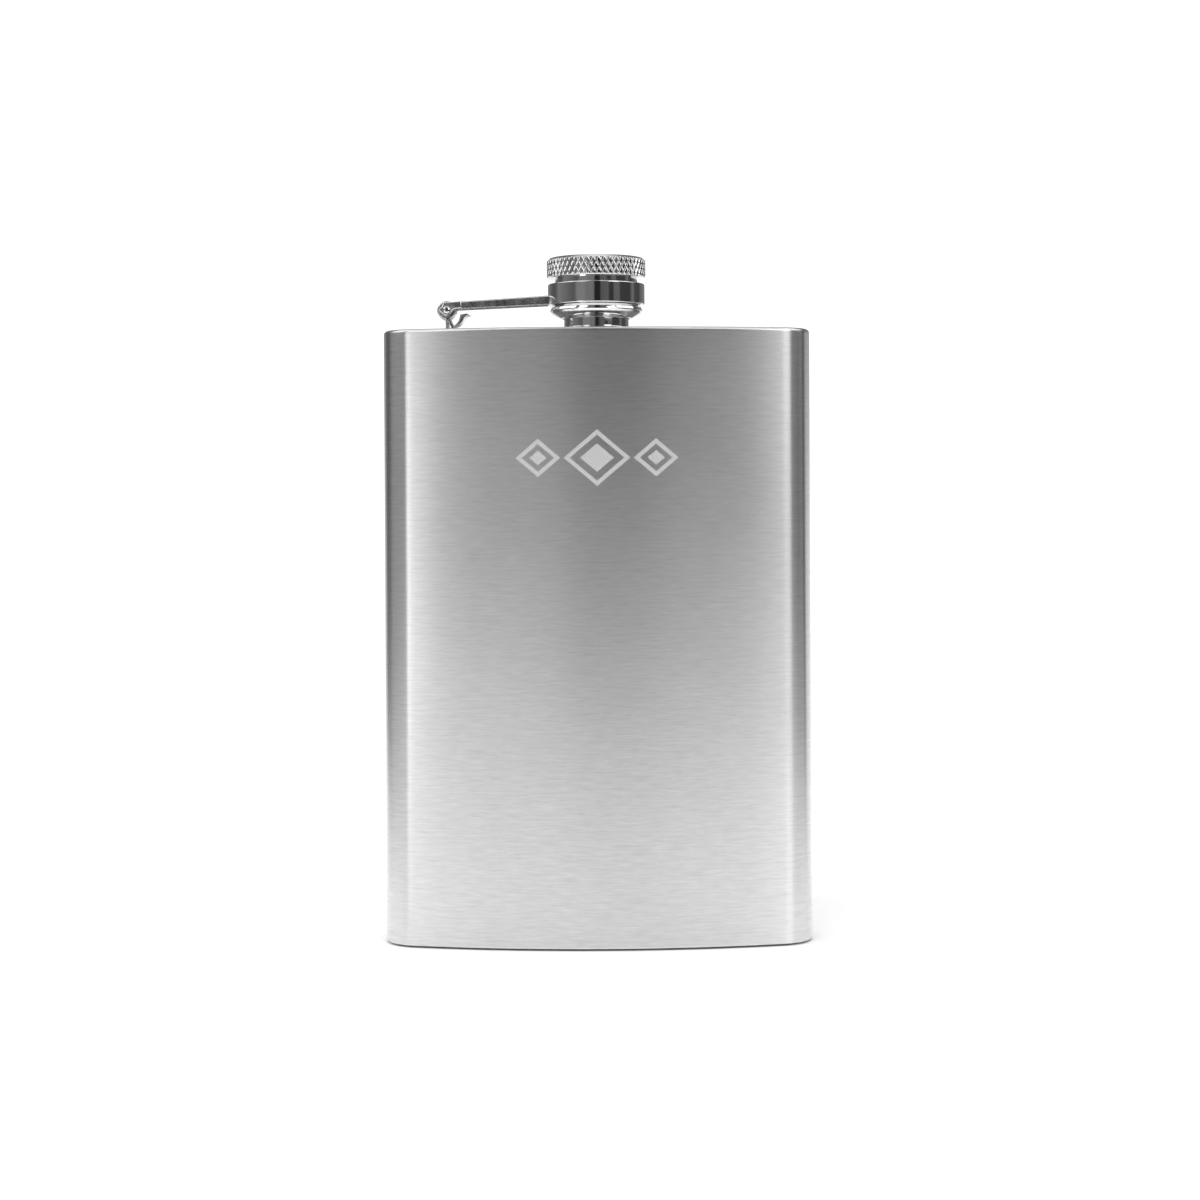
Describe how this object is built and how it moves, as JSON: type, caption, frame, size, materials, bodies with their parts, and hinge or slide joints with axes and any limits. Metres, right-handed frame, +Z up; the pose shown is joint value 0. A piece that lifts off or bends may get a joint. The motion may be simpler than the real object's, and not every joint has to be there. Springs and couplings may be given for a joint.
{
  "type": "hip flask",
  "caption": "Curved rectangular steel hip flask with a short threaded neck and a knurled screw cap held captive by a swivel collar on a hinged arm.",
  "frame": {"origin": "centre of the base, on the surface it stands on", "axes": "+Z up along the neck, -Y out of the bulged face, +X to the right with the hinge at the left of the neck"},
  "size_m": [0.095, 0.026, 0.1518],
  "materials": {
    "brushed_body": "horizontally brushed",
    "polished_neck": "polished",
    "polished_hinge": "polished",
    "polished_arm": "polished",
    "polished_cap": "polished, knurled on the head",
    "seal": "matt"
  },
  "bodies": {
    "flask": {"body_shell": "brushed_body", "bottom_plate": "brushed_body", "top_plate": "brushed_body", "neck": "polished_neck", "hinge_bracket": "polished_hinge", "hinge_pin": "polished_hinge"},
    "arm": {"retainer_arm": "polished_arm", "swivel_collar": "polished_arm"},
    "cap": {"cap_core": "polished_cap", "cap_head": "polished_cap", "cap_seal": "seal"}
  },
  "joints": [
    {"name": "arm_swing", "type": "hinge", "parent": "flask", "child": "arm", "pos_m": [-0.0331, -0.00205, 0.14038], "axis": [0, -1, 0], "range_deg": [0, 180]},
    {"name": "cap_spin", "type": "hinge", "parent": "arm", "child": "cap", "pos_m": [0, -0.00205, 0.1435], "axis": [0, 0, 1], "continuous": true}
  ]
}
